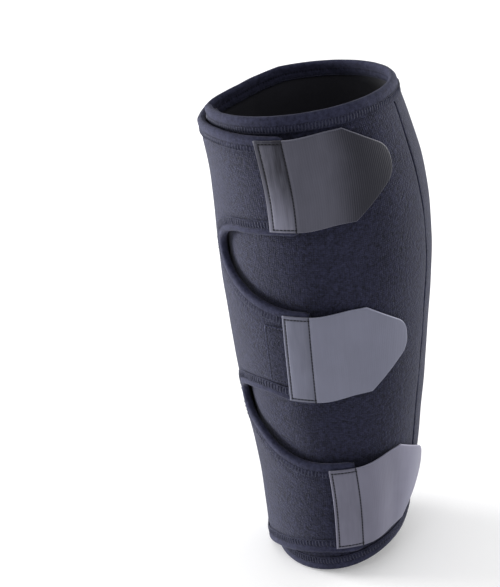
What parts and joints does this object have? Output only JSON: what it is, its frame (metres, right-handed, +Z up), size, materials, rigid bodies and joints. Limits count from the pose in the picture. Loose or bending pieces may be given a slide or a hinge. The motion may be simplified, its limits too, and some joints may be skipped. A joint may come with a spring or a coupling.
{
  "type": "calf compression sleeve",
  "caption": "Wrap-around neoprene calf support with bound edges, open at both ends, closed in front by hook tabs on tongues with round bays between them.",
  "frame": {"origin": "centre of the leg hollow, halfway along the wrap", "axes": "+Z up along the leg, -Y to the front, where the shin is, +X to the side of the seam, the right side seen from the front"},
  "size_m": [0.1348, 0.1397, 0.3125],
  "materials": {
    "pile_neoprene": "matt brushed loop pile",
    "stretch_tape": "matt fine knit",
    "dark_hook_tape": "satin, fine ribs",
    "pale_hook_tape": "satin"
  },
  "bodies": {
    "root": {"front_panel": "pile_neoprene", "wrap_panel": "pile_neoprene", "upper_binding": "stretch_tape", "lower_binding": "stretch_tape", "upper_bay_binding": "stretch_tape", "lower_bay_binding": "stretch_tape", "middle_patch": "pile_neoprene", "top_tab": "dark_hook_tape", "middle_tab": "pale_hook_tape", "bottom_tab": "pale_hook_tape"}
  },
  "joints": []
}
